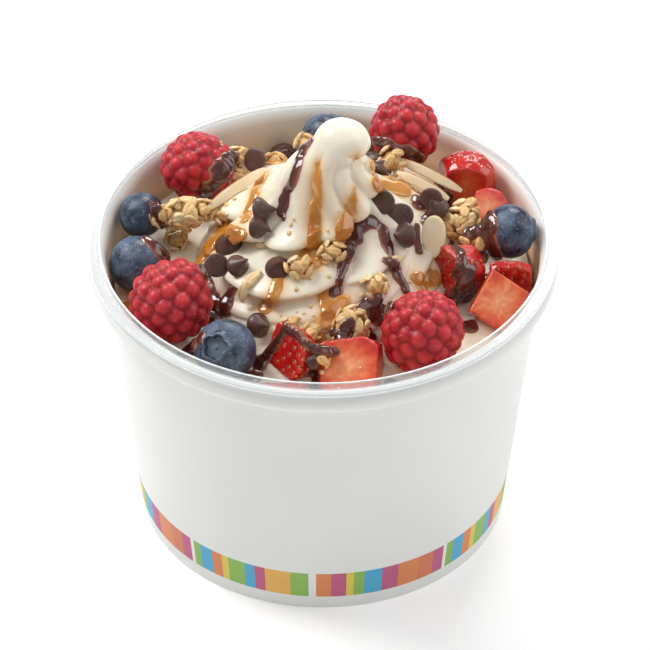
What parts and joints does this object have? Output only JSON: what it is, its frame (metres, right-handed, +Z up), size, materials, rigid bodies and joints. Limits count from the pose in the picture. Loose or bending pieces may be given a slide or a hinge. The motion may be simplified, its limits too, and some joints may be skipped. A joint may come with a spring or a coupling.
{
  "type": "frozen yogurt cup",
  "caption": "White paper tub with a clear rim ring and a striped foot band, filled with a swirl of frozen yogurt topped with berries, strawberry pieces, granola and sauce.",
  "frame": {"origin": "middle of the tub's foot, on the surface it stands on", "axes": "+Z up along the tub's axis, +X to the right of the shown side, -Y towards the viewer of the shown side"},
  "size_m": [0.118, 0.118, 0.1146],
  "materials": {
    "paper": "smooth coated",
    "clear_plastic": "clear, glossy",
    "yogurt": "soft satin, cream white",
    "raspberry": "moist fruit",
    "blueberry": "waxy bloom",
    "strawberry": "wet cut fruit and seeded skin",
    "granola": "baked oats",
    "chocolate": "satin chips and glossy sauce",
    "caramel": "glossy sauce",
    "almond": "smooth cut nut"
  },
  "bodies": {
    "root": {"tub_wall": "paper", "tub_base": "paper", "clear_ring": "clear_plastic", "frozen_yogurt": "yogurt", "raspberry_1": "raspberry", "raspberry_2": "raspberry", "raspberry_3": "raspberry", "raspberry_4": "raspberry", "blueberry_1": "blueberry", "blueberry_2": "blueberry", "blueberry_3": "blueberry", "blueberry_4": "blueberry", "blueberry_5": "blueberry", "strawberry_1": "strawberry", "strawberry_2": "strawberry", "strawberry_3": "strawberry", "strawberry_4": "strawberry", "strawberry_5": "strawberry", "strawberry_6": "strawberry", "strawberry_7": "strawberry", "strawberry_8": "strawberry", "granola_cluster_1": "granola", "granola_cluster_2": "granola", "granola_cluster_3": "granola"}
  },
  "joints": []
}
